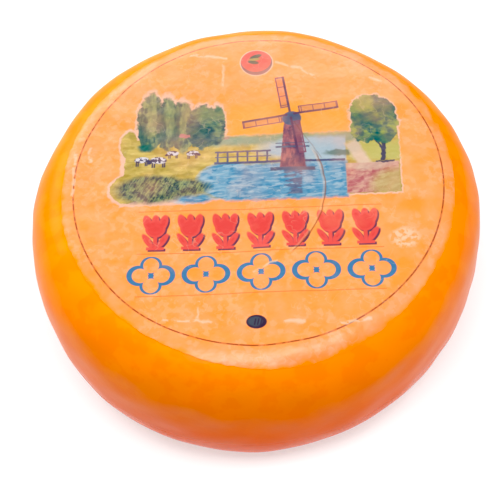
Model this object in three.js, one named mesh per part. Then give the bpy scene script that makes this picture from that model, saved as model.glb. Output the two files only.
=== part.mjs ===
// Wheel of semi-hard cow's-milk cheese in a glossy orange coating, with a round printed film on its top face.
// Millimetres, +Z up. The origin is the middle of the base, and +X is the print's reading direction.
import * as THREE from "three";

// Driving dimensions.
const diameter = 350;
const height = 130;
const flatRadius = 137; // of the flat top and base; the side's bulge starts here
const acrossExponent = 2.08; // superellipse exponent of the side, outwards
const upExponent = 2.85; // and upwards: above 2, so the side is fuller than an ellipse

// The wheel has spread a little unevenly in store. Each amount is a share of the radius.
const oval = { amount: 0.008, direction: 49 };
const lobes = { amount: 0.004, direction: 4 };

// The film lies on the top, a little off centre, and its rim bends down over the shoulder.
const film = { radius: 150, thickness: 0.4, gap: 0.4, offCentre: new THREE.Vector2(4.8, 1.7) };

// Facets.
const turnSteps = 72;
const sideSteps = 22;
const filmRings = [60, 110, 130, 138, 142, 146];

const bulge = diameter / 2 - flatRadius;
const halfHeight = height / 2;
const { degToRad } = THREE.MathUtils;

// How far the outline reaches at an angle from +X, as a factor on the round wheel.
function outline(angle) {
  const ovalPart = oval.amount * Math.cos(2 * (angle - degToRad(oval.direction)));
  const lobePart = lobes.amount * Math.cos(3 * (angle - degToRad(lobes.direction)));
  return 1 + ovalPart + lobePart;
}

// A point of the side, from the base's edge (-90 degrees) over the widest line (0) to the top's edge (90).
function sidePoint(turn) {
  const across = Math.cos(turn) ** (2 / acrossExponent);
  const up = Math.sign(turn) * Math.abs(Math.sin(turn)) ** (2 / upExponent);
  return new THREE.Vector2(flatRadius + bulge * across, halfHeight * (1 + up));
}

// Height of the wheel's upper surface above a point of the floor plan.
function topHeight(x, y) {
  const radius = Math.hypot(x, y) / outline(Math.atan2(y, x));
  const across = Math.max(0, (radius - flatRadius) / bulge);
  return halfHeight * (1 + (1 - across ** acrossExponent) ** (1 / upExponent));
}

// Turns a profile of (radius, height) points about +Z, then moves every vertex with a function of its own.
function turned(profile, moveVertex) {
  const geometry = new THREE.LatheGeometry(profile, turnSteps).rotateX(Math.PI / 2);
  const { position } = geometry.attributes;
  const vertex = new THREE.Vector3();
  for (let i = 0; i < position.count; i += 1) {
    moveVertex(vertex.fromBufferAttribute(position, i));
    position.setXYZ(i, vertex.x, vertex.y, vertex.z);
  }
  geometry.computeVertexNormals();
  return geometry;
}

function wheelGeometry() {
  const profile = [new THREE.Vector2(0, 0)];
  for (let step = 0; step <= sideSteps; step += 1) {
    profile.push(sidePoint(Math.PI * (step / sideSteps - 0.5)));
  }
  profile.push(new THREE.Vector2(0, height));
  return turned(profile, (vertex) => {
    const reach = outline(Math.atan2(vertex.y, vertex.x));
    vertex.x *= reach;
    vertex.y *= reach;
  });
}

function filmGeometry() {
  const radii = [0, ...filmRings, film.radius];
  const underside = radii.map((radius) => new THREE.Vector2(radius, 0));
  const upperSide = radii.map((radius) => new THREE.Vector2(radius, film.thickness)).reverse();
  return turned([...underside, ...upperSide], (vertex) => {
    vertex.x += film.offCentre.x;
    vertex.y += film.offCentre.y;
    vertex.z += topHeight(vertex.x, vertex.y) + film.gap;
  });
}

function namedMesh(name, geometry, color, roughness) {
  const material = new THREE.MeshStandardMaterial({ color, roughness, metalness: 0 });
  const mesh = new THREE.Mesh(geometry, material);
  mesh.name = name;
  return mesh;
}

const wheel = namedMesh("cheese_wheel", wheelGeometry(), 0xf98c12, 0.3);
const label = namedMesh("label_film", filmGeometry(), 0xfdb36c, 0.4);

// The uneven outline moves the middle of the wheel's box, so both pieces go back over the origin.
wheel.geometry.computeBoundingBox();
const middle = wheel.geometry.boundingBox.getCenter(new THREE.Vector3());
for (const mesh of [wheel, label]) {
  mesh.position.set(-middle.x, -middle.y, 0);
}

const cheeseWheel = new THREE.Group();
cheeseWheel.add(wheel, label);

export default cheeseWheel;
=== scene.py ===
import math

import bpy
import numpy as np
from mathutils import Matrix, Vector


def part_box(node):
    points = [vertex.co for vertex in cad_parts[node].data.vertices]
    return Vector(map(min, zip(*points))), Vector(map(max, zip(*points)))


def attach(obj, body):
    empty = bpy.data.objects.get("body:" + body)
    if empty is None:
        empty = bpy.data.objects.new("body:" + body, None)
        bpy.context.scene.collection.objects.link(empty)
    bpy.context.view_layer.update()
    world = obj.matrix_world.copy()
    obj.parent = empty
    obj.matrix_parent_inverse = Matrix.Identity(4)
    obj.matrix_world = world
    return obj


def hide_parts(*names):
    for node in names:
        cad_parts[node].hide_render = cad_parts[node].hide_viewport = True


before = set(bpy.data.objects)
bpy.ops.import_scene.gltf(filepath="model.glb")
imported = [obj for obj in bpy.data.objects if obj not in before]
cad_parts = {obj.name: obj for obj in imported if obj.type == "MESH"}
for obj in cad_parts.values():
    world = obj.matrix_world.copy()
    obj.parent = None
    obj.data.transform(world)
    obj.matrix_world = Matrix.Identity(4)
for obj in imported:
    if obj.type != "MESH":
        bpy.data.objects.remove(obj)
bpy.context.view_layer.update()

wheelLow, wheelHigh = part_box("cheese_wheel")
filmLow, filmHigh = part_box("label_film")
wheelHeight = wheelHigh.z - wheelLow.z
print("frame loaded, wheel", round(wheelHigh.x - wheelLow.x, 4), "m across")


cameraSetup = {
    "azimuth": 4.0,  # degrees, 0 looks along +Y
    "elevation": 56.67,
    "roll": 5.27,  # degrees clockwise, so the wheel leans to the left
    "distance": 1.225,  # metres from the wheel's middle
    "lens": 111.4,  # millimetres, as the sensor
    "sensor": 36,
    "shift": (-0.013, -0.0356),  # shares of the sensor
}


def directionTo(azimuth, elevation):
    # unit vector from the wheel towards a point seen at this azimuth and elevation, in degrees
    turn, rise = math.radians(azimuth), math.radians(elevation)
    return Vector((math.sin(turn) * math.cos(rise), -math.cos(turn) * math.cos(rise), math.sin(rise)))


def makeCamera(setup):
    back = directionTo(setup["azimuth"], setup["elevation"])
    level = Vector((0, 0, 1)).cross(back).normalized()
    upright = back.cross(level)
    lean = math.radians(setup["roll"])
    right = level * math.cos(lean) - upright * math.sin(lean)
    up = back.cross(right)
    camera = bpy.data.objects.new("camera", bpy.data.cameras.new("camera"))
    camera.data.lens = setup["lens"]
    camera.data.sensor_width = setup["sensor"]
    camera.data.shift_x, camera.data.shift_y = setup["shift"]
    middle = Vector((0, 0, wheelHeight / 2))
    turned = Matrix((right, up, back)).transposed().to_4x4()
    camera.matrix_world = Matrix.Translation(middle + back * setup["distance"]) @ turned
    bpy.context.scene.collection.objects.link(camera)
    bpy.context.scene.camera = camera


# softboxes of one size around the wheel: azimuth, elevation, watts
lightSetup = {
    "backFloor": (184, 14, 2.5),
    "backLow": (184, 35, 9.5),
    "backLeft": (229, 30, 15.5),
    "frontTop": (4, 75, 26.5),
    "frontRight": (49, 20, 2.2),
    "left": (274, 15, 5.0),
    "right": (94, 45, 8.0),
}
lightBox = {"distance": 1.6, "width": 1.2, "height": 0.55}  # metres


def makeLight(name, azimuth, elevation, watts):
    data = bpy.data.lights.new(name, "AREA")
    data.shape = "RECTANGLE"
    data.size = lightBox["width"]
    data.size_y = lightBox["height"]
    data.energy = watts
    light = bpy.data.objects.new(name, data)
    towards = directionTo(azimuth, elevation)
    light.location = towards * lightBox["distance"]
    light.rotation_euler = towards.to_track_quat("Z", "Y").to_euler()
    bpy.context.scene.collection.objects.link(light)


stageSetup = {
    "floorSize": 12.0,
    "floorColor": (0.4, 0.4, 0.4),
    "floorRoughness": 0.9,
    "floorGlow": 0.58,  # keeps the paper white round the wheel's shadow
    "roomColor": (0.62, 0.62, 0.62),  # seen behind the floor, lights nothing
    "black": 0.04,  # level that comes out as black
}


def makeStage(setup):
    half = setup["floorSize"] / 2
    mesh = bpy.data.meshes.new("floor")
    corners = [(-half, -half, 0), (half, -half, 0), (half, half, 0), (-half, half, 0)]
    mesh.from_pydata(corners, [], [(0, 1, 2, 3)])
    floor = bpy.data.objects.new("floor", mesh)
    bpy.context.scene.collection.objects.link(floor)
    material = bpy.data.materials.new("floorPaper")
    material.use_nodes = True
    shader = material.node_tree.nodes["Principled BSDF"]
    shader.inputs["Base Color"].default_value = (*setup["floorColor"], 1)
    shader.inputs["Roughness"].default_value = setup["floorRoughness"]
    shader.inputs["Emission Color"].default_value = (1, 1, 1, 1)
    shader.inputs["Emission Strength"].default_value = setup["floorGlow"]
    mesh.materials.append(material)
    world = bpy.data.worlds.new("studio")
    world.use_nodes = True
    world.node_tree.nodes["Background"].inputs["Color"].default_value = (*setup["roomColor"], 1)
    world.cycles_visibility.diffuse = False
    world.cycles_visibility.glossy = False
    bpy.context.scene.world = world


makeCamera(cameraSetup)
for lightName, lightValues in lightSetup.items():
    makeLight(lightName, *lightValues)
makeStage(stageSetup)
viewing = bpy.context.scene.view_settings
viewing.view_transform = "Standard"
viewing.use_curve_mapping = True
viewing.curve_mapping.black_level = (stageSetup["black"],) * 3
viewing.curve_mapping.update()
print("camera, lights and floor made")


wheelShape = {
    "flatShare": 137 / 175,  # flat top and base, as a share of the radius
    "acrossExponent": 2.08,  # the side is a superellipse
    "upExponent": 2.85,
    "oval": (0.008, 49),  # share of the radius, degrees
    "lobes": (0.004, 4),
    "swell": 0.0005,  # metres, slow unevenness of the surface
    "swellLengths": (0.11, 0.035),  # metres, long and short waves of it
    "shortShare": 0.45,
    "settledBelow": 0.02,  # height under which the swell fades out
    "turnSteps": 288,
    "sideRows": 120,
    "flatRows": 26,
    "flatCrowding": 0.8,  # below 1 the flat rows crowd towards the rim
}


def outline(angle):
    # radius factor: 1 + oval * cos 2(angle - its direction) + lobes * cos 3(angle - its direction)
    ovalAmount, ovalAt = wheelShape["oval"]
    lobeAmount, lobeAt = wheelShape["lobes"]
    ovalPart = ovalAmount * np.cos(2 * (angle - math.radians(ovalAt)))
    return 1 + ovalPart + lobeAmount * np.cos(3 * (angle - math.radians(lobeAt)))


# the mean radius and the middle of the round wheel, so that the uneven outline fills the frame's box
roundAngles = np.linspace(0, 2 * math.pi, 720, endpoint=False)
roundX = outline(roundAngles) * np.cos(roundAngles)
roundY = outline(roundAngles) * np.sin(roundAngles)
wheelRadius = (wheelHigh.x - wheelLow.x) / np.ptp(roundX)
wheelMiddle = -0.5 * wheelRadius * np.array([roundX.max() + roundX.min(), roundY.max() + roundY.min()])
flatRadius = wheelRadius * wheelShape["flatShare"]


def slowNoise(x, y, z, wavelength, seed, waves=14):
    # sum of cosine waves in random directions, cos(k . p + phase) with k near 2 pi / wavelength, over
    # root(waves / 2)
    chance = np.random.default_rng(seed)
    total = np.zeros_like(x)
    for _ in range(waves):
        way = chance.normal(size=3)
        way *= 2 * math.pi / wavelength * chance.uniform(0.6, 1.5) / np.linalg.norm(way)
        total += np.cos(way[0] * x + way[1] * y + way[2] * z + chance.uniform(0, 2 * math.pi))
    return total / math.sqrt(waves / 2)


def swell(x, y, z):
    # long waves + share * short waves, times the height over the settled one: none where the base rests
    long, short = wheelShape["swellLengths"]
    raised = np.clip(z / wheelShape["settledBelow"], 0, 1)
    uneven = slowNoise(x, y, z, long, 3) + wheelShape["shortShare"] * slowNoise(x, y, z, short, 4)
    return wheelShape["swell"] * uneven * raised


def topHeight(x, y):
    # height of the upper surface over a point: the superellipse solved for z, plus its swell, which stands
    # square to the surface and so adds swell * root(1 + slope * slope); the slope has no end at the girth
    fromMiddle = x - wheelMiddle[0], y - wheelMiddle[1]
    radius = np.hypot(*fromMiddle) / outline(np.arctan2(*fromMiddle[::-1]))
    shoulder = wheelRadius - flatRadius
    across = np.clip((radius - flatRadius) / shoulder, 0, 0.98)
    wide, tall = wheelShape["acrossExponent"], wheelShape["upExponent"]
    rest = 1 - across**wide
    height = wheelHeight / 2 * (1 + rest ** (1 / tall))
    slope = wheelHeight / 2 / shoulder * wide / tall * across ** (wide - 1) * rest ** (1 / tall - 1)
    return height + swell(x, y, height) * np.hypot(1, slope)


def gridFaces(rows, columns):
    # quads between neighbouring rows of a closed ring of columns
    row, column = np.meshgrid(np.arange(rows - 1), np.arange(columns), indexing="ij")
    after = (column + 1) % columns
    corners = [row * columns + column, row * columns + after]
    corners += [(row + 1) * columns + after, (row + 1) * columns + column]
    return np.stack(corners, -1).reshape(-1, 4)


def closedSkin(name, points):
    # points is (rows, columns, 3), its first and last row each on one pole: rings of quads and two fans
    rows, columns = points.shape[:2]
    ring = points[1:-1].reshape(-1, 3)
    quads = gridFaces(rows - 2, columns)
    turn = np.arange(columns)
    after = (turn + 1) % columns
    low, high = len(ring), len(ring) + 1
    bottomFan = np.stack([after, turn, np.full(columns, low)], -1)
    lastRing = (rows - 3) * columns
    topFan = np.stack([lastRing + turn, lastRing + after, np.full(columns, high)], -1)
    vertices = np.vstack([ring, points[0].mean(0), points[-1].mean(0)])
    mesh = bpy.data.meshes.new(name)
    mesh.from_pydata(vertices.tolist(), [], quads.tolist() + bottomFan.tolist() + topFan.tolist())
    mesh.polygons.foreach_set("use_smooth", [True] * len(mesh.polygons))
    mesh.update()
    piece = bpy.data.objects.new(name, mesh)
    bpy.context.scene.collection.objects.link(piece)
    return piece


def wheelSkin(shape):
    # radius and height along half the section: base, side from -90 to 90 degrees of the superellipse, top
    flat = np.linspace(0, 1, shape["flatRows"], endpoint=False) ** shape["flatCrowding"] * flatRadius
    turn = np.linspace(-math.pi / 2, math.pi / 2, shape["sideRows"])
    across = np.cos(turn).clip(0) ** (2 / shape["acrossExponent"])
    up = np.sign(turn) * np.abs(np.sin(turn)) ** (2 / shape["upExponent"])
    radius = np.concatenate([flat, flatRadius + (wheelRadius - flatRadius) * across, flat[::-1]])
    height = wheelHeight / 2 * (1 + np.concatenate([-np.ones(len(flat)), up, np.ones(len(flat))]))
    angle = np.linspace(0, 2 * math.pi, shape["turnSteps"], endpoint=False)
    reach = outline(angle)
    x = radius[:, None] * reach * np.cos(angle)
    y = radius[:, None] * reach * np.sin(angle)
    z = np.repeat(height[:, None], len(angle), axis=1)
    points = np.stack([x + wheelMiddle[0], y + wheelMiddle[1], z], -1)
    # the swell moves each point along the surface's normal, got from its neighbours' differences
    along = np.gradient(points, axis=0)
    turnwise = np.roll(points, -1, axis=1) - np.roll(points, 1, axis=1)
    normal = np.cross(turnwise, along)
    normal[0], normal[-1] = (0, 0, -1), (0, 0, 1)
    normal /= np.linalg.norm(normal, axis=-1, keepdims=True)
    return points + normal * swell(points[..., 0], points[..., 1], points[..., 2])[..., None]


wheel = closedSkin("coated_wheel", wheelSkin(wheelShape))
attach(wheel, "root")
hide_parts("cheese_wheel")
print("wheel made,", len(wheel.data.polygons), "faces")


filmShape = {
    "lift": 0.00008,  # metres above the coating
    "thickness": 0.0001,
    "radius": 0.1494,
    "edgeWave": 0.0009,
    "lap": (0.0076, -83),  # metres that it laps further over the shoulder, and in which direction, degrees
    "pleatHeight": 0.00014,  # radial pleats at the rim
    "pleatLength": 0.0075,
    "pleatStart": 0.134,
    "turnSteps": 720,
    "rings": 84,
    "ringCrowding": 1.5,  # above 1 the rings crowd towards the rim
    "underRings": 8,
}
filmMiddle = np.array([(filmLow.x + filmHigh.x) / 2, (filmLow.y + filmHigh.y) / 2])
lapLength, lapAt = filmShape["lap"][0], math.radians(filmShape["lap"][1])


def filmSheet(shape):
    # polar grid, its radius waved with the angle and lengthened by lap * cos(angle - its direction)^4, laid
    # on the wheel's upper surface; near the rim the height also follows a wave of the angle, the pleats
    angle = np.linspace(0, 2 * math.pi, shape["turnSteps"], endpoint=False)
    flat = np.zeros_like(angle)
    slow = slowNoise(np.cos(angle), np.sin(angle), flat, 0.6, 8)
    wave = shape["pleatLength"] / shape["radius"]
    pleats = slowNoise(np.cos(angle), np.sin(angle), flat, wave, 9, 40).clip(-1.5, 1.5)
    edge = shape["radius"] + shape["edgeWave"] * (0.6 * slow.clip(-1, 1) + 0.3 * pleats)
    edge += lapLength * np.cos(angle - lapAt).clip(0) ** 4
    upper = 1 - np.linspace(0, 1, shape["rings"]) ** shape["ringCrowding"]
    under = np.linspace(0, 1, shape["underRings"])
    radius = np.concatenate([under, upper])[:, None] * edge
    x = filmMiddle[0] + radius * np.cos(angle)
    y = filmMiddle[1] + radius * np.sin(angle)
    rise = ((radius - shape["pleatStart"]) / (shape["radius"] - shape["pleatStart"])).clip(0, 1)
    z = topHeight(x, y) + shape["lift"] + shape["pleatHeight"] * rise**1.5 * (pleats + 1.5) / 3
    z[shape["underRings"]:] += shape["thickness"]
    return np.stack([x, y, z], -1)


# flat map of the film: the upper side fills the square, the under side lies small in one corner;
# rimStep moves the rim's upper corners a little further out than its lower ones
filmChart = {"middle": 0.5, "size": 0.49, "underMiddle": 0.07, "underSize": 0.05, "rimStep": 1.06}


def layFlat(piece, shape, chart):
    # place on the map: middle + size * place on the film over its greatest radius
    mesh = piece.data
    place = np.empty(len(mesh.vertices) * 3)
    mesh.vertices.foreach_get("co", place)
    corner = np.empty(len(mesh.loops), int)
    mesh.loops.foreach_get("vertex_index", corner)
    sides = np.empty(len(mesh.polygons), int)
    mesh.polygons.foreach_get("loop_total", sides)
    # under faces: the first rows of quads and the first fan
    quadRows = (shape["underRings"] - 1) * shape["turnSteps"]
    quads = int((sides == 4).sum())
    under = np.zeros(len(sides), bool)
    under[:quadRows] = True
    under[quads:quads + shape["turnSteps"]] = True
    below = np.repeat(under, sides)
    spot = (place.reshape(-1, 3)[:, :2] - filmMiddle) / (shape["radius"] + shape["edgeWave"] + lapLength)
    outer = corner >= (shape["underRings"] - 1) * shape["turnSteps"]
    step = np.where(outer, chart["rimStep"], 1)[:, None]
    small = chart["underMiddle"] + chart["underSize"] * spot[corner] * step
    laid = np.where(below[:, None], small, chart["middle"] + chart["size"] * spot[corner])
    layer = mesh.uv_layers.new(name="OFBake")
    layer.data.foreach_set("uv", laid.ravel())


film = closedSkin("printed_film", filmSheet(filmShape))
layFlat(film, filmShape, filmChart)
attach(film, "root")
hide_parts("label_film")
print("film made,", len(film.data.polygons), "faces")


class Wire:
    # one socket of a node tree; arithmetic on it adds Math nodes
    def __init__(self, tree, socket):
        self.tree = tree
        self.socket = socket

    def node(self, kind, settings, values, out=0):
        # settings are set first, then each socket gets a number, a colour or another wire
        made = self.tree.nodes.new("ShaderNode" + kind)
        for name, setting in settings.items():
            setattr(made, name, setting)
        for name, value in values.items():
            if isinstance(value, Wire):
                self.tree.links.new(value.socket, made.inputs[name])
            else:
                made.inputs[name].default_value = value
        return Wire(self.tree, made.outputs[out])

    def math(self, operation, *values):
        return self.node("Math", {"operation": operation}, dict(enumerate(values)))

    def vector(self, operation, *values, out=0):
        return self.node("VectorMath", {"operation": operation}, dict(enumerate(values)), out)

    def place(self):
        # where the point lies in metres, straight from the coordinate node
        return Wire(self.tree, self.tree.nodes["place"].outputs["Object"])

    def split(self):
        # its x and its y, as dot products with the two axes
        return [self.vector("DOT_PRODUCT", self, axis, out=1) for axis in ((1, 0, 0), (0, 1, 0))]

    def __add__(self, other):
        return self.math("ADD", self, other)

    def __sub__(self, other):
        return self.math("SUBTRACT", self, other)

    def __rsub__(self, other):
        return self.math("SUBTRACT", other, self)

    def __mul__(self, other):
        return self.math("MULTIPLY", self, other)

    def __abs__(self):
        return self.math("ABSOLUTE", self)

    __radd__ = __add__
    __rmul__ = __mul__


def newMaterial(name, fixed):
    # a material with one Principled shader; fixed holds the socket values that are the same all over
    material = bpy.data.materials.new(name)
    material.use_nodes = True
    tree = material.node_tree
    shader = tree.nodes["Principled BSDF"]
    for socket, value in fixed.items():
        shader.inputs[socket].default_value = value
    return material, shader, Wire(tree, None).node("TexCoord", {"name": "place"}, {}, "Object")


def feed(shader, socket, wire):
    wire.tree.links.new(wire.socket, shader.inputs[socket])


def over(under, color, share):
    # color painted over what is under it; the Mix node holds the share between 0 and 1
    return share.node("Mix", {"data_type": "RGBA"}, {0: share, 6: under, 7: color}, 2)


def edge(depth, blur=0.6):
    # share that passes from 0 to 1 over the blurred edge of a shape; depth is how far inside the point lies
    return depth.math("MULTIPLY_ADD", depth, 1 / blur, 0.5)


def least(*shares):
    # where shapes overlap, or a share that goes no further than a number
    whole = shares[0]
    for share in shares[1:]:
        whole = whole.math("MINIMUM", whole, share)
    return whole


def joined(*depths):
    # union of shapes: the greatest depth
    whole = depths[0]
    for depth in depths[1:]:
        whole = whole.math("MAXIMUM", whole, depth)
    return whole


def placed(spot, centre, turn=0, size=(1, 1)):
    # the point seen from a frame with this centre, turn in degrees and unit lengths: it is
    # (point - centre) / size, or the dot products of (point - centre) with the turned axes over size
    if turn == 0:
        offset = (-centre[0] / size[0], -centre[1] / size[1], 0)
        return spot.vector("MULTIPLY_ADD", spot, (1 / size[0], 1 / size[1], 0), offset)
    local = spot.vector("SUBTRACT", spot, (*centre, 0))
    cos, sin = math.cos(math.radians(turn)), math.sin(math.radians(turn))
    along = local.vector("DOT_PRODUCT", local, (cos / size[0], sin / size[0], 0), out=1)
    aside = local.vector("DOT_PRODUCT", local, (-sin / size[1], cos / size[1], 0), out=1)
    return spot.node("CombineXYZ", {}, {0: along, 1: aside})


def oval(spot, centre, radii, turn=0):
    # depth in an ellipse: (1 - length of the point over the radii) * smaller radius
    far = placed(spot, centre, turn, radii)
    return far.math("MULTIPLY_ADD", far.vector("LENGTH", far, out=1), -min(radii), min(radii))


def bar(spot, centre, half, turn=0):
    # depth in a rectangle: the smaller of half size - distance from the middle, along each side
    local = placed(spot, centre, turn)
    inside = local.vector("SUBTRACT", (*half, 0), local.vector("ABSOLUTE", local))
    x, y = inside.split()
    return least(x, y)


def line(spot, start, end, half):
    # depth in a straight stroke between two points
    run, rise = end[0] - start[0], end[1] - start[1]
    middle = ((start[0] + end[0]) / 2, (start[1] + end[1]) / 2)
    return bar(spot, middle, (math.hypot(run, rise) / 2, half), math.degrees(math.atan2(rise, run)))


perMetre = 1000  # millimetres, the unit of everything drawn on the film


def grain(spot, size, seed, stretch=(1, 1), turn=0, detail=2.0):
    # noise around 0.5, its patches about size millimetres across and drawn out by stretch; each seed
    # takes another part of the same noise
    start = spot.place()
    where = {"Location": (seed * 0.0377, seed * 0.0173, 0), "Rotation": (0, 0, math.radians(turn))}
    where["Scale"] = (size * stretch[0] / perMetre, size * stretch[1] / perMetre, 1)
    local = start.node("Mapping", {"vector_type": "TEXTURE"}, {"Vector": start, **where})
    values = {"Vector": local, "Scale": 1.0, "Detail": detail}
    return local.node("TexNoise", {"noise_dimensions": "2D"}, values)


def patches(noise, level, blur=0.06):
    # share of the places where the noise passes a level
    return noise.math("MULTIPLY_ADD", noise, 1 / blur, 0.5 - level / blur)


def wobbled(spot, size, amount, seed):
    # the point moved by up to half the amount either way, so that drawn edges look painted
    aside = spot.node("CombineXYZ", {}, {0: grain(spot, size, seed), 1: grain(spot, size, seed + 1)})
    moved = spot.vector("MULTIPLY_ADD", aside, (amount, amount, 0), spot)
    return moved.vector("SUBTRACT", moved, (amount / 2, amount / 2, 0))


def linear(channel):
    # sRGB 0 to 255 as linear light
    share = channel / 255
    return share / 12.92 if share < 0.04045 else ((share + 0.055) / 1.055) ** 2.4


printLight = {"sheen": 0.085, "light": 1.64}  # what the film shines back, and the light that falls on it


def ink(red, green, blue):
    # the ink's own colour from how it looks under the lamps:
    # (seen * (1 - black) + black - sheen) / light, in linear light
    black = stageSetup["black"]
    seen = [linear(channel) * (1 - black) + black - printLight["sheen"] for channel in (red, green, blue)]
    own = [min(max(value / printLight["light"], 0.001), 0.9) for value in seen]
    return (*own, 1)


coatingLook = {
    # lighter and yellower at the top, deeper orange towards the foot: painted light and painted shade
    "upper": (0.84, 0.238, 0.001, 1),
    "lower": (0.84, 0.09, 0.0005, 1),
    "shadeTurnsAt": (0.03, 0.128),  # heights between which the colour turns from painted shade below to painted light above, metres
    "deep": (0.78, 0.12, 0.0006, 1),  # where the coating is thick
    "fixed": {"IOR": 1.25},
    "roughness": (0.25, 0.42),  # at the foot, at the top
    "scales": (11.0, 60.0, 240.0),  # noise scales: patches, grain and orange peel
    "peel": 0.00018,  # metres, height of the unevenness drawn by the shader
}


def makeCoating(look):
    material, shader, place = newMaterial("orange_coating", look["fixed"])
    patchScale, grainScale, peelScale = look["scales"]
    slow = place.node("TexNoise", {}, {"Vector": place, "Scale": patchScale, "Detail": 2.0})
    fine = place.node("TexNoise", {}, {"Vector": place, "Scale": grainScale, "Detail": 3.0})
    low, high = look["shadeTurnsAt"]
    smooth, dull = look["roughness"]
    height = place.vector("DOT_PRODUCT", place, (0, 0, 1), out=1)
    upward = least(joined((height - low) * (1 / (high - low)), 0), 1)
    # painted shade: the colour deepens from the top towards the foot
    color = over(look["lower"], look["upper"], upward + (slow - 0.5) * 0.2)
    color = over(color, look["deep"], least(patches(fine, 0.62, 0.3), 0.22))
    feed(shader, "Base Color", color)
    feed(shader, "Roughness", upward * (dull - smooth) + smooth)
    peel = place.node("TexNoise", {}, {"Vector": place, "Scale": peelScale, "Detail": 1.0})
    uneven = peel * 0.25 + fine
    bump = place.node("Bump", {}, {"Strength": 1.0, "Distance": look["peel"], "Height": uneven})
    feed(shader, "Normal", bump)
    return material


# all places on the film are millimetres from the middle of the ring, x to the right and y up

bareLook = {
    # red past 255 stays full on the shoulder, where less light falls
    "clear": ink(290, 180, 106),
    "warm": ink(290, 175, 92),
    "pale": ink(290, 187, 128),
    # pale colour of the bubbles, also used for the painted sheen
    "bubbleAndSheen": ink(290, 203, 158),
    # pale colour of the painted highlights on ridges and folds
    "foldHighlight": ink(255, 222, 190),
    "ringRadius": 140.3,
    "ring": ink(188, 104, 76),
}

# folds of the film, along which pale painted highlights lie: start, end, half width
folds = (
    ((-52, 127), (-23, 122), 0.9),
    ((-26, 118), (-27, 94), 0.5),
    ((16, 117), (34, 110), 0.8),
    ((34, 110), (48, 100), 0.6),
    ((88, 98), (99, 93), 0.7),
    ((-140, 33), (-141, -9), 0.9),
    ((-129, 38), (-129, 24), 0.9),
    ((-69, -117), (-32, -120), 0.7),
    ((-43, -103), (-44, -117), 0.4),
    ((18, -121), (34, -122), 0.9),
    ((60, -124), (80, -121), 0.8),
    ((14, -69), (-4, -79), 0.5),
)


def paintBareFilm(spot, look):
    color = over(look["clear"], look["warm"], patches(grain(spot, 26, 1), 0.54, 0.25))
    color = over(color, look["pale"], patches(grain(spot, 13, 2, detail=3), 0.56, 0.4))
    small = patches(grain(spot, 6, 3, detail=3), 0.6, 0.2)
    bubbles = least(small, patches(grain(spot, 40, 4), 0.52, 0.1), 0.35)
    return over(color, look["bubbleAndSheen"], bubbles)


def paintHaze(spot, color, look):
    # what lies on top of the print: painted highlights along thin wandering ridges and long folds, one
    # whitened place, and a painted sheen that grows towards the back
    wander = grain(spot, 16, 91, detail=2)
    # painted highlight along thin wandering ridges
    ridge = least(0.8 - abs(wander - 0.5) * 80, patches(grain(spot, 28, 92), 0.6, 0.1), 0.18)
    color = over(color, look["foldHighlight"], ridge)
    # painted highlights along the folds, shown in patches
    loose = wobbled(spot, 9, 5, 93)
    patchyShare = patches(grain(spot, 5, 94, detail=3), 0.44, 0.16)
    streaks = joined(*[line(loose, start, end, half) for start, end, half in folds])
    color = over(color, look["foldHighlight"], least(edge(streaks, 1.8), patchyShare, 0.75))
    blotch = edge(oval(loose, (108, -53), (9.5, 8)), 5)
    flecks = patches(grain(spot, 4, 95, detail=3), 0.49, 0.12)
    color = over(color, look["foldHighlight"], least(blotch, flecks, 0.8))
    # painted sheen: paler in patches and more so towards the back
    y = spot.split()[1]
    paintedSheen = joined(grain(spot, 30, 96, detail=3) * 0.6 - 0.27 + y * 0.0016, 0)
    return over(color, look["bubbleAndSheen"], paintedSheen)


creaseLook = {
    "middle": (-26, -4),  # of the circle that the crease follows
    "radius": 77.2,
    "reach": (27.5, 24),  # least x, greatest y
    # colour of the painted shade in the crease, also of a thin straight line
    "dark": (0.16, 0.05, 0.012, 1),
    "lit": ink(255, 206, 160),
}


def creaseDepth(spot, half, look, aside=0.0):
    # depth in a thin arc: half width - distance from the circle, tapered to the left and above
    local = placed(spot, look["middle"])
    ring = half - abs(local.vector("LENGTH", local, out=1) - (look["radius"] + aside))
    x, y = spot.split()
    return least(ring, (x - look["reach"][0]) * 0.1, (look["reach"][1] - y) * 0.06)


def paintCrease(spot, color, look):
    loose = wobbled(spot, 14, 2.4, 97)
    # pale painted highlight along the inner side of the crease
    color = over(color, look["lit"], least(edge(creaseDepth(loose, 0.6, look, -1.0), 1.2), 0.22))
    # a thin dark straight line
    color = over(color, look["dark"], least(edge(line(loose, (49, 22), (29, 57), 0.2), 0.8), 0.3))
    # painted shade along the crease's arc
    return over(color, look["dark"], least(edge(creaseDepth(loose, 0.4, look), 0.8), 0.62))


pictureLook = {
    "halo": ink(255, 205, 180),
    "meadow": (ink(208, 183, 104), ink(188, 166, 92), ink(228, 202, 124)),
    "water": (ink(122, 177, 206), ink(92, 154, 190), ink(164, 198, 217)),
    "farWater": ink(184, 202, 212),
    "foam": ink(214, 224, 228),
    "evening": ink(254, 181, 84),
    "farLand": ink(160, 176, 150),
    "reeds": (ink(110, 130, 118), ink(70, 90, 98), ink(164, 172, 124)),
    "poplar": (ink(116, 142, 124), ink(80, 114, 112), ink(168, 178, 130)),
    "bush": (ink(102, 138, 134), ink(64, 106, 114), ink(146, 164, 124)),
    "tree": (ink(116, 150, 126), ink(64, 118, 118), ink(164, 180, 108)),
    "bank": (ink(211, 145, 142), ink(196, 118, 122), ink(226, 178, 160)),
    "path": ink(228, 205, 182),
    "grass": ink(206, 196, 120),
    "trunk": ink(96, 92, 112),
    "shade": ink(62, 122, 112),
    "timber": (ink(152, 102, 122), ink(118, 92, 118), ink(190, 126, 132)),
    "slate": ink(104, 116, 142),
    "cowWhite": ink(232, 226, 232),
    "cowBlack": ink(84, 78, 106),
    "jetty": ink(100, 108, 140),
    "roof": ink(206, 142, 140),
}

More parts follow.
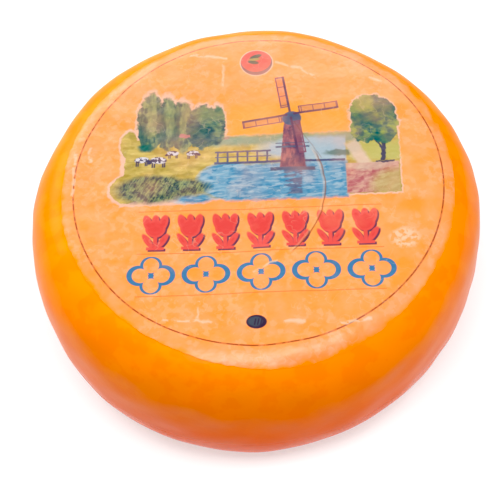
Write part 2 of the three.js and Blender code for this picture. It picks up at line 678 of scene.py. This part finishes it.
# leaves as groups of ovals: middle and radii of each
poplars = (((-83, 61), (10.5, 28)), ((-69.5, 59), (8, 26)), ((-58, 56), (9, 24)))
poplarGaps = (((-75, 56), (3, 24)), ((-63.5, 52), (3, 22)), ((-89, 48), (4, 12)))
poplarLights = (((-82, 68), (3, 18)), ((-68, 66), (3, 16)), ((-56, 62), (3, 13)))
bushes = (((-42, 55), (13.5, 21)), ((-31, 56), (6.5, 18)))
crowns = (((89, 62), (17, 18)), ((97, 54), (12, 20)), ((83, 48), (11, 13)))
crownShades = (((100, 69), (9, 8)), ((84, 57), (10, 6)), ((95, 38), (13, 4)))


def shaded(spot, tones, size, seed, stretch=(1, 1), turn=0):
    # three tones of one colour in brush strokes: the middle tone, the dark and the light
    middle, dark, light = tones
    stroke = grain(spot, size, seed, stretch, turn, 3)
    broad = grain(spot, size * 3, seed + 1)
    color = over(over(middle, dark, patches(stroke, 0.45, -0.16)), light, patches(stroke, 0.55, 0.16))
    color = over(color, light, least(patches(broad, 0.56, 0.2), 0.45))
    return over(color, dark, least(patches(broad, 0.44, -0.2), 0.45))


def groups(spot, ovals):
    # depth in a group of ovals
    return joined(*[oval(spot, centre, radii) for centre, radii in ovals])


def paintLand(spot, rough, color, look):
    x, y = spot.split()
    color = over(color, look["evening"], least(edge(bar(rough, (24, 60), (45, 15)), 9), 0.75))
    meadow = joined(
        bar(rough, (3, 16), (105, 29)),
        oval(rough, (-99, 40), (7, 13)),
        oval(rough, (-100, -2), (12, 13)),
    )
    color = over(color, shaded(spot, look["meadow"], 4, 11, (4, 1)), edge(meadow))
    color = over(color, look["farLand"], edge(bar(rough, (20, 40.5), (56, 4.5)), 4))
    color = over(color, look["roof"], least(edge(bar(rough, (-30, 44), (8, 1)), 1.5), 0.6))
    far = joined(oval(rough, (46, 31), (44, 11)), bar(rough, (45, 24), (26, 9)))
    color = over(color, look["farWater"], least(edge(far, 4), (68.5 - x) * 0.7))
    color = over(color, look["reeds"][0], least(edge(oval(rough, (64, 26), (12, 3)), 2), 0.8))
    water = joined(
        bar(rough, (22, 1), (46, 16.5)),
        oval(rough, (-22, 3), (24, 17)),
        oval(rough, (-48, -13), (15, 4)),
    )
    share = least(edge(water, 3), 20 - y)
    color = over(color, shaded(spot, look["water"], 3.2, 12, (4, 1), 6), share)
    color = over(color, look["water"][1], least(share, edge(bar(rough, (35, 0), (34, 13)), 14), 0.4))
    foam = patches(grain(spot, 2.2, 16, (5, 1), 4, 3), 0.6, 0.08)
    color = over(color, look["foam"], least(share, foam, 0.4))
    reeds = joined(oval(rough, (-81, -3), (27, 13)), oval(rough, (-56, -3), (19, 8)))
    return over(color, shaded(spot, look["reeds"], 1.5, 14, (5, 1), 62), edge(reeds, 4))


def paintBank(spot, rough, color, look):
    color = over(color, look["grass"], edge(bar(rough, (90, 27), (19, 9)), 2))
    color = over(color, look["path"], edge(line(rough, (72, 36), (82, 14), 5), 3))
    bank = edge(bar(spot, (87.5, 1.5), (20, 14)), 1)
    color = over(color, shaded(spot, look["bank"], 2.6, 21, (3, 1), 12), bank)
    color = over(color, look["path"], least(bank, edge(oval(rough, (84, 14), (16, 4)), 5), 0.6))
    return over(color, look["grass"], least(bank, edge(oval(rough, (104, -6), (15, 12)), 12), 0.6))


def paintTrees(spot, rough, leafy, color, look):
    grove = edge(groups(leafy, poplars), 1)
    color = over(color, shaded(spot, look["poplar"], 2.3, 31, (1, 4)), grove)
    gaps = groups(rough, poplarGaps)
    color = over(color, look["poplar"][1], least(grove, edge(gaps, 4), 0.7))
    lit = groups(rough, poplarLights)
    color = over(color, look["poplar"][2], least(grove, edge(lit, 3), 0.5))
    color = over(color, look["shade"], edge(oval(rough, (-86, 37), (6, 3.6)), 2))
    bush = edge(groups(leafy, bushes), 1)
    color = over(color, shaded(spot, look["bush"], 3.0, 33, (1.5, 1)), bush)
    color = over(color, look["bush"][1], least(bush, edge(oval(rough, (-46, 46), (12, 11)), 9), 0.6))
    color = over(color, look["bush"][2], least(bush, edge(oval(rough, (-36, 68), (12, 7)), 6), 0.5))
    color = over(color, look["roof"], edge(bar(rough, (-56, 47.5), (4, 1.7)), 0.8))
    stem = joined(
        line(rough, (96, 17), (97.5, 38), 1.8),
        line(rough, (97, 28), (90, 38), 1),
        bar(rough, (97, 16), (7, 0.9)),
    )
    color = over(color, look["trunk"], edge(stem, 0.8))
    crown = edge(groups(leafy, crowns), 0.9)
    color = over(color, shaded(spot, look["tree"], 3.2, 35, (1.6, 1), -10), crown)
    color = over(color, look["tree"][2], least(crown, edge(oval(rough, (80, 73), (10, 9)), 6), 0.7))
    dark = groups(rough, crownShades)
    return over(color, look["tree"][1], least(crown, edge(dark, 4), 0.7))


# each cow: place, size and the way it faces
cows = (((-89, 25.5), 1.0, 1), ((-76, 24.5), 1.15, -1), ((-65, 31), 0.8, -1), ((-50, 30.5), 0.85, 1))
legSteps = (-4, -2.6, 3, 4.2)


def paintCows(spot, color, look):
    spots = patches(grain(spot, 3.2, 41), 0.5, 0.08)
    for (x, y), size, way in cows:
        body = oval(spot, (x, y), (5.6 * size, 2.9 * size), 4 * way)
        head = oval(spot, (x + 5.6 * size * way, y - 1.6 * size), (2.2 * size, 1.4 * size), -40 * way)
        half = (0.5 * size, 2.6 * size)
        legs = joined(*[bar(spot, (x + step * size, y - 3.6 * size), half) for step in legSteps])
        color = over(color, look["cowBlack"], edge(joined(legs, head), 0.6))
        color = over(color, over(look["cowWhite"], look["cowBlack"], spots), edge(body, 0.6))
    return color


mill = {
    "hub": (26, 64),
    "towerMiddle": 27,
    "foot": 12.5,
    "footHalfWidth": 10.0,
    "taper": 0.09,
    "towerHeight": 46,
    "armLength": 38,
    "firstAngle": 8,  # degrees
    "sailStart": 7,
    "sailWidth": 6.5,
    "rungs": 4.6,
}


def paintMill(spot, rough, color, look):
    timber = shaded(spot, look["timber"], 2.5, 51, (1, 3))
    middle = mill["towerMiddle"]
    # tapered tower: its half width shrinks with height
    x, y = placed(rough, (middle, mill["foot"])).split()
    tower = least(y * -mill["taper"] + mill["footHalfWidth"] - abs(x), y, mill["towerHeight"] - y)
    color = over(color, timber, edge(tower, 0.7))
    color = over(color, look["timber"][1], least(edge(least(tower, x - 2.5), 2.5), 0.6))
    cap = oval(rough, (middle, 60), (7.5, 6.5))
    color = over(color, look["slate"], edge(cap, 0.7))
    gallery = joined(bar(rough, (middle, 33), (13, 0.8)), bar(rough, (middle, 36.5), (13, 0.4)))
    color = over(color, look["slate"], edge(gallery, 0.6))
    quay = bar(rough, (middle, 12), (17, 1.6))
    color = over(color, look["slate"], edge(quay, 0.7))
    # four sails a quarter turn apart, each a frame with rungs on one side of its arm
    reach = mill["armLength"]
    for quarter in range(4):
        turn = mill["firstAngle"] + 90 * quarter
        out, side = placed(spot, mill["hub"], turn).split()
        arm = least(0.9 - abs(side), out, reach - out)
        sail = least(side, mill["sailWidth"] - side, out - mill["sailStart"], reach - out)
        frameLine = 0.45 - abs(sail - 0.45)
        rung = 0.35 - abs(out.math("PINGPONG", out, mill["rungs"]))
        color = over(color, look["timber"][2], least(edge(sail), 0.35))
        color = over(color, look["timber"][0], edge(least(joined(frameLine, rung), sail), 0.5))
        color = over(color, look["timber"][1], edge(arm, 0.6))
    return over(color, look["slate"], edge(oval(spot, mill["hub"], (2.4, 2.4))))


def paintJetty(spot, rough, color, look):
    x = rough.split()[0]
    posts = 0.75 - abs(x.math("PINGPONG", x, 3.8))
    between = bar(rough, (-11, 24.7), (21.5, 6))
    rails = joined(
        bar(rough, (-11, 30), (21.5, 0.8)),
        bar(rough, (-11, 25), (21.5, 0.5)),
        bar(rough, (17, 19.3), (50, 1.1)),
    )
    color = over(color, look["jetty"], edge(joined(rails, least(posts, between))))
    reflection = bar(rough, (27, 0), (6.5, 11))
    streaks = patches(grain(spot, 2.2, 61, (4, 1)), 0.5, 0.1)
    return over(color, look["timber"][1], least(edge(reflection, 2.0), streaks, 0.6))


def paintPicture(spot, color, look):
    rough = wobbled(spot, 5, 3.2, 5)
    land = joined(
        bar(rough, (2, 16), (106, 29)),
        oval(rough, (-100, -2), (13, 13)),
        bar(rough, (-75, -14), (28, 2.6)),
        oval(rough, (-99, 40), (7, 13)),
    )
    leafy = wobbled(spot, 6, 7, 9)
    whole = joined(land, groups(leafy, poplars), groups(leafy, bushes), groups(leafy, crowns))
    color = over(color, look["halo"], edge(whole + 1.5, 0.9))
    color = paintLand(spot, rough, color, look)
    color = paintBank(spot, rough, color, look)
    color = paintTrees(spot, rough, leafy, color, look)
    color = paintCows(spot, color, look)
    fineEdges = wobbled(spot, 3, 0.8, 7)
    color = paintJetty(spot, fineEdges, color, look)
    return paintMill(spot, fineEdges, color, look)


ornamentLook = {
    "red": ink(252, 112, 106),
    "redDeep": ink(240, 86, 88),
    "shadow": ink(134, 92, 112),
    "blue": ink(96, 145, 186),
    "rule": ink(226, 146, 92),
    "redRow": {"middle": (1.5, -42), "step": 26, "count": 7},
    "blueRow": {"middle": (2, -79), "step": 40.4, "count": 5},
    "ruleHeights": (-23.4, -60.6, -96.8),
}


def tulip(spot, row):
    # depth in a row of tulips, one wrapped along the row and folded about its stem: cup, three petals,
    # stem, two leaves and a turf
    local = placed(spot, row["middle"])
    x, y = local.split()
    half = row["step"] / 2
    inRow = half * row["count"] - abs(x)
    own = x.math("WRAP", x, half, -half)
    folded = spot.node("CombineXYZ", {}, {0: abs(own), 1: y})
    flower = joined(
        oval(folded, (0, 3.4), (7.6, 7.8)),
        oval(folded, (5.9, 8.2), (3.3, 7.4), -14),
        oval(folded, (0, 9.4), (2.9, 6.2)),
        bar(folded, (0, -7), (1.5, 7)),
        oval(folded, (5.6, -7.4), (2.5, 7.2), -32),
        bar(folded, (0, -14), (6.6, 1.3)),
    )
    return least(flower, inRow)


def rosette(spot, row):
    # depth in a row of outlines, each of four round petals, thick at the sides, with a lozenge inside
    local = placed(spot, row["middle"])
    x, y = local.split()
    half = row["step"] / 2
    inRow = half * row["count"] - abs(x)
    across = abs(x.math("WRAP", x, half, -half))
    upward = abs(y)
    folded = spot.node("CombineXYZ", {}, {0: across, 1: upward})
    petals = joined(oval(folded, (8.4, 0), (7.4, 7.4)), oval(folded, (0, 8.6), (6.9, 6.9)))
    stroke = across * 0.09 + 0.55 - abs(petals)
    flower = joined(stroke, 2.6 - (across + upward))
    return least(flower, inRow)


def paintOrnaments(spot, color, look):
    red, blue = look["redRow"], look["blueRow"]
    lower = spot.vector("ADD", spot, (-1.3, 1.3, 0))
    color = over(color, look["shadow"], edge(tulip(lower, red)))
    front = tulip(spot, red)
    color = over(color, look["red"], edge(front))
    color = over(color, look["redDeep"], least(edge(front - 2.2, 1.5), 0.35))
    color = over(color, look["blue"], edge(rosette(spot, blue)))
    rules = joined(*[bar(spot, (1.5, height), (91, 0.3)) for height in look["ruleHeights"]])
    return over(color, look["rule"], least(edge(rules), 0.8))


badgeLook = {
    "middle": (0, 116.9),
    "red": ink(255, 120, 118),
    "rim": ink(255, 214, 190),
    "crescent": ink(150, 118, 128),
    "leaf": ink(110, 122, 112),
    "bloom": ink(196, 176, 120),
    "oval": (-1.6, -121.3),
    "dark": ink(92, 80, 98),
    "tone": ink(104, 110, 122),
}


def paintBadges(spot, color, look):
    middle = look["middle"]
    color = over(color, look["rim"], edge(oval(spot, middle, (13.4, 13.4))))
    disc = oval(spot, middle, (12.5, 12.5))
    color = over(color, look["crescent"], edge(disc))
    face = least(disc, oval(spot, (middle[0] - 0.4, middle[1] + 1.9), (12.1, 11.0)))
    color = over(color, look["red"], edge(face))
    color = over(color, look["leaf"], edge(oval(spot, (middle[0] - 0.6, middle[1] + 6.4), (5.0, 1.9), 22)))
    color = over(color, look["leaf"], edge(oval(spot, (middle[0] - 2.6, middle[1] + 0.6), (4.4, 1.8), -12)))
    color = over(color, look["bloom"], edge(oval(spot, (middle[0] - 1.6, middle[1] + 3.6), (4.6, 1.3), 6)))
    small = look["oval"]
    color = over(color, look["dark"], edge(oval(spot, small, (7.4, 5.5))))
    color = over(color, look["tone"], edge(oval(spot, (small[0] - 1, small[1] + 0.3), (5.2, 3.8)), 1.2))
    bars = joined(*[bar(spot, (small[0] + step, small[1]), (0.45, 2.6), -12) for step in (-1.0, 1.2, 3.4)])
    return over(color, look["dark"], edge(bars))


def paintRing(spot, color, look):
    far = spot.vector("LENGTH", spot, out=1)
    stroke = 0.55 - abs(far - look["ringRadius"])
    patchyShare = joined(patches(grain(spot, 5, 71), 0.42, 0.2), 0.5)
    return over(color, look["ring"], least(edge(stroke), patchyShare))


filmLook = {
    "fixed": {"IOR": 1.45},
    "roughness": (0.3, 0.46),
    "rim": (0.78, 0.22, 0.004, 1),  # the coating seen through the film's clear rim
    "rimStart": 146.6,
    "rimRise": 0.34,  # share of the rim's colour that each millimetre adds
    "rimRagged": 2.4,
    "relief": 0.0007,  # metres, height of the wrinkles drawn by the shader
}


def makeFilm(look):
    material, shader, place = newMaterial("film_print", look["fixed"])
    spot = placed(place, filmMiddle, 0, (1 / perMetre, 1 / perMetre))
    color = paintBareFilm(spot, bareLook)
    color = paintPicture(spot, color, pictureLook)
    color = paintOrnaments(spot, color, ornamentLook)
    color = paintBadges(spot, color, badgeLook)
    color = paintRing(spot, color, bareLook)
    color = paintHaze(spot, color, bareLook)
    color = paintCrease(spot, color, creaseLook)
    far = spot.vector("LENGTH", spot, out=1)
    ragged = grain(spot, 11, 82, detail=3)
    towardsLap = spot.vector("DOT_PRODUCT", spot, (math.cos(lapAt), math.sin(lapAt), 0), out=1)
    lapShare = far.math("POWER", joined(far.math("DIVIDE", towardsLap, far), 0), 4)
    # how far past the start of the clear rim, which the lap moves outward
    past = far - look["rimStart"] - lapShare * (lapLength * perMetre)
    color = over(color, look["rim"], past * look["rimRise"] + (ragged - 0.5) * look["rimRagged"])
    feed(shader, "Base Color", color)
    low, high = look["roughness"]
    feed(shader, "Roughness", grain(spot, 9, 81, detail=3) * (high - low) + low)
    wrinkles = grain(spot, 12, 84, detail=2) * 0.8 + grain(spot, 3.5, 85, (2, 1), 30) * 0.25
    height = wrinkles + least(joined(edge(creaseDepth(spot, 0.2, creaseLook), 1.6), 0), 1) * 0.22
    bump = place.node("Bump", {}, {"Strength": 1.0, "Distance": look["relief"], "Height": height})
    feed(shader, "Normal", bump)
    return material


wheel.data.materials.append(makeCoating(coatingLook))
film.data.materials.append(makeFilm(filmLook))
print("materials made,", len(film.data.materials[0].node_tree.nodes), "nodes in the print")
